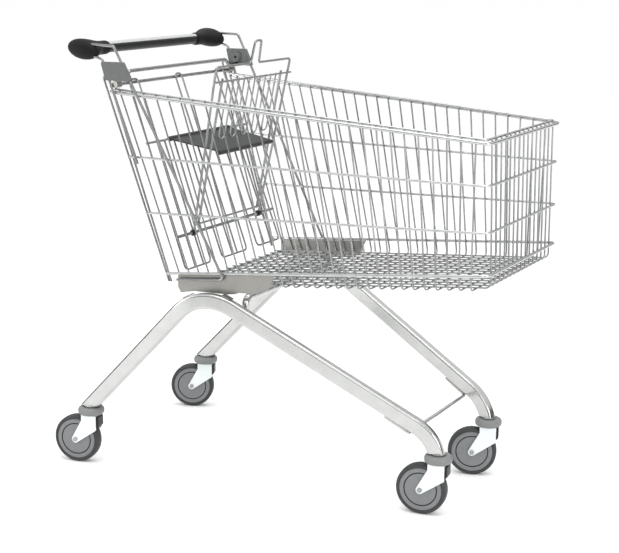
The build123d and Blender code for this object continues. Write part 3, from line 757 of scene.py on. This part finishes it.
def grainAndLightTop(flap):
    # the faces that look up, inside a plain border, take the grained finish, whose lighter colour
    # is painted highlight from the overhead light
    v = flapValues
    flap.data.materials.append(seatTopGrainAndLight)
    arms = (facePlaces(flap.data, "center") - np.array(joints["seat_flap_fold"]["pos_m"])) / mm
    reach = arms[:, 0] / v["length"]
    onTop = facePlaces(flap.data, "normal")[:, 2] > v["grainAndLightLevel"]
    onTop &= (reach > v["grainAndLightFrom"]) & (reach < v["grainAndLightTo"])
    onTop &= flapWidth(reach) - np.abs(arms[:, 1]) > v["border"]
    flap.data.polygons.foreach_set("material_index", onTop.astype(int))


points, columns = flapPoints()
flap = makePiece(
    "moulded_seat_flap", points, gridFaces(flapValues["rows"], columns, False, True),
    seatPlastic, "seat_flap", ["seat_flap"], flapValues["sharp"],
)
grainAndLightTop(flap)


# Small plates and stems

plateSoft = {"knuckles": 0.7, "cups": 0.7, "carrier": 0.8, "stems": 0.6}
softenedCopy("seat_back_knuckles", plateSoft["knuckles"], seatPlastic)
softenedCopy("gate_hinge_cups", plateSoft["cups"], zincPlate)
for sideName in sides:
    softenedCopy(sideName + "_carrier_plate", plateSoft["carrier"], zincPlate)
softenedCopy("castor_stems", plateSoft["stems"], zincHardware)
print("seat and plates done")


# Floor, light and camera

stageValues = {
    "floorHalf": 90.0,
    "floorColor": "#ffffff",
    "floorRoughness": 0.9,
    "roomStrength": 1.14,
    "roomBands": [(0.0, "#4c4c4c"), (0.2, "#585858"), (0.3, "#f0f0f0"), (1.0, "#ffffff")],
}
# Square lamps: where each stands, what it faces, its side in metres and its power in watts
lightValues = {
    "overhead": {"place": (0.3, -0.4, 3.6), "target": (0, 0, 0.4), "size": 3.0, "power": 60.0},
    "frontRight": {"place": (1.8, -3.6, 2.2), "target": (0, 0, 0.5), "size": 1.6, "power": 14.0},
    "rightStrip": {"place": (2.6, -1.1, 0.9), "target": (0, 0, 0.6), "size": 0.9, "power": 16.0},
    "leftStrip": {"place": (-2.4, -2.2, 0.9), "target": (0, 0, 0.6), "size": 0.9, "power": 16.0},
    "left": {"place": (-3.2, -1.2, 2.4), "target": (0, 0, 0.5), "size": 1.6, "power": 12.0},
}
cameraValues = {
    "place": (1.73384, -3.1644, 1.3279),
    "azimuth": 28.59,
    "elevation": 12.93,
    "roll": 0.55,
    "lens": 84.5,
    "sensor": 36.0,
    "farthest": 400,
}


def makeFloor():
    # one wide square of matt white paper
    half = stageValues["floorHalf"]
    corners = [(-half, -half, 0), (half, -half, 0), (half, half, 0), (-half, half, 0)]
    mesh = bpy.data.meshes.new("floor")
    mesh.from_pydata(corners, [], [(0, 1, 2, 3)])
    floor = bpy.data.objects.new("floor", mesh)
    bpy.context.scene.collection.objects.link(floor)
    paper = bpy.data.materials.new("mattWhitePaper")
    paper.use_nodes = True
    shader = paper.node_tree.nodes["Principled BSDF"]
    shader.inputs["Base Color"].default_value = hexColor(stageValues["floorColor"])
    shader.inputs["Roughness"].default_value = stageValues["floorRoughness"]
    mesh.materials.append(paper)


def makeWorld():
    # a pale room, dark from eye height down, which puts dark lines in the plating
    world = bpy.data.worlds.new("room")
    bpy.context.scene.world = world
    world.use_nodes = True
    tree = world.node_tree
    way = addNode(tree, "ShaderNodeTexCoord")
    parts = addNode(tree, "ShaderNodeSeparateXYZ", {"Vector": way.outputs["Generated"]})
    ramp = addNode(tree, "ShaderNodeValToRGB", {"Fac": parts.outputs["Z"]})
    bands = stageValues["roomBands"]
    while len(ramp.color_ramp.elements) < len(bands):
        ramp.color_ramp.elements.new(0.5)
    for element, (position, code) in zip(ramp.color_ramp.elements, bands):
        element.position = position
        element.color = hexColor(code)
    background = tree.nodes["Background"]
    tree.links.new(ramp.outputs["Color"], background.inputs["Color"])
    background.inputs["Strength"].default_value = stageValues["roomStrength"]


def makeLights():
    for name, values in lightValues.items():
        lamp = bpy.data.lights.new(name, "AREA")
        lamp.shape = "SQUARE"
        lamp.size = values["size"]
        lamp.energy = values["power"]
        holder = bpy.data.objects.new(name, lamp)
        holder.location = values["place"]
        aim = Vector(values["target"]) - Vector(values["place"])
        holder.rotation_euler = aim.to_track_quat("-Z", "Y").to_euler()
        bpy.context.scene.collection.objects.link(holder)


def makeCamera():
    # it looks back along azimuth and elevation, turned a little about its own axis
    azimuth = math.radians(cameraValues["azimuth"])
    elevation = math.radians(cameraValues["elevation"])
    roll = math.radians(cameraValues["roll"])
    flat = math.cos(elevation)
    back = Vector((math.sin(azimuth) * flat, -math.cos(azimuth) * flat, math.sin(elevation)))
    level = Vector((math.cos(azimuth), math.sin(azimuth), 0))
    upright = back.cross(level)
    right = level * math.cos(roll) + upright * math.sin(roll)
    up = upright * math.cos(roll) - level * math.sin(roll)
    lens = bpy.data.cameras.new("camera")
    lens.lens = cameraValues["lens"]
    lens.sensor_width = cameraValues["sensor"]
    lens.clip_end = cameraValues["farthest"]
    camera = bpy.data.objects.new("camera", lens)
    bpy.context.scene.collection.objects.link(camera)
    turn = Matrix((right, up, back)).transposed().to_4x4()
    camera.matrix_world = Matrix.Translation(cameraValues["place"]) @ turn
    bpy.context.scene.camera = camera


makeFloor()
makeWorld()
makeLights()
makeCamera()
bpy.context.scene.view_settings.view_transform = "Standard"
print("stage done")
